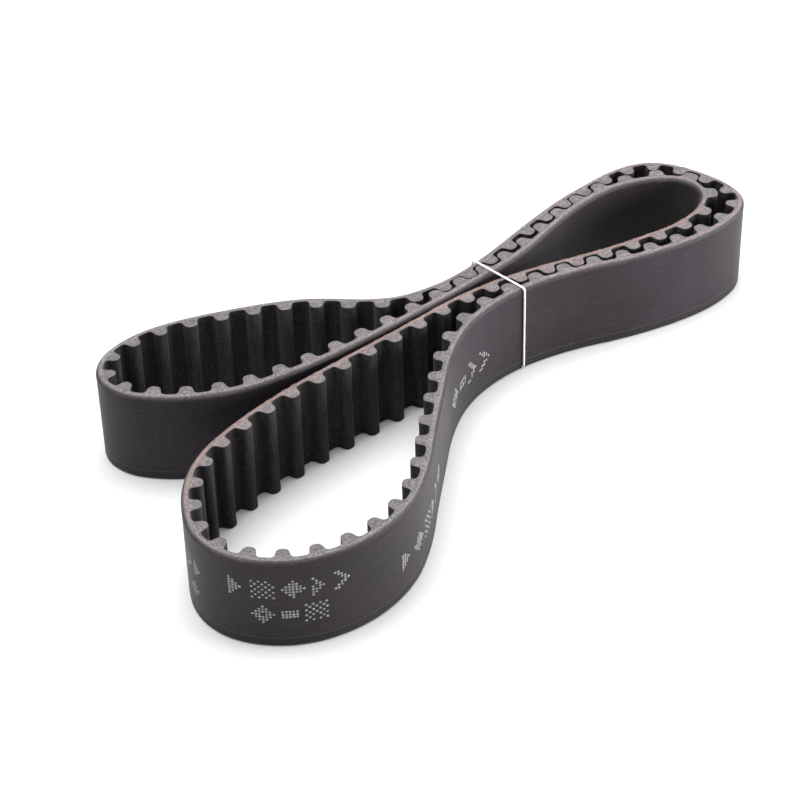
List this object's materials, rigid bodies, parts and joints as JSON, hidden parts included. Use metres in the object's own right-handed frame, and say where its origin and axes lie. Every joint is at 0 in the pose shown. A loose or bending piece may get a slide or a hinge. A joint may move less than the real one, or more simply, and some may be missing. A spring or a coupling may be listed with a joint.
{
  "type": "timing belt",
  "caption": "Endless rubber timing belt with rounded teeth inside, folded into three lobes, standing on its cut edge and tied at the waist with thread.",
  "frame": {"origin": "centre of the folded belt's footprint, in the plane of the cut edge that it stands on", "axes": "+X along the long axis of the fold, from the two open lobes towards the lobe where the belt folds back on itself; +Z across the belt's width, up from the cut edge it stands on"},
  "size_m": [0.2176, 0.1145, 0.0297],
  "materials": {
    "backing_rubber": "smooth moulded back, satin",
    "tooth_rubber": "moulded teeth, matt cut faces",
    "facing_fabric": "woven nylon facing, matt",
    "cord_layer": "resin-treated glass cord, matt",
    "thread": "twisted cotton"
  },
  "bodies": {
    "root": {"backing_rubber": "backing_rubber", "tooth_rubber": "tooth_rubber", "tooth_facing_fabric": "facing_fabric", "tension_cord_layer": "cord_layer", "tie_thread": "thread"}
  },
  "joints": []
}
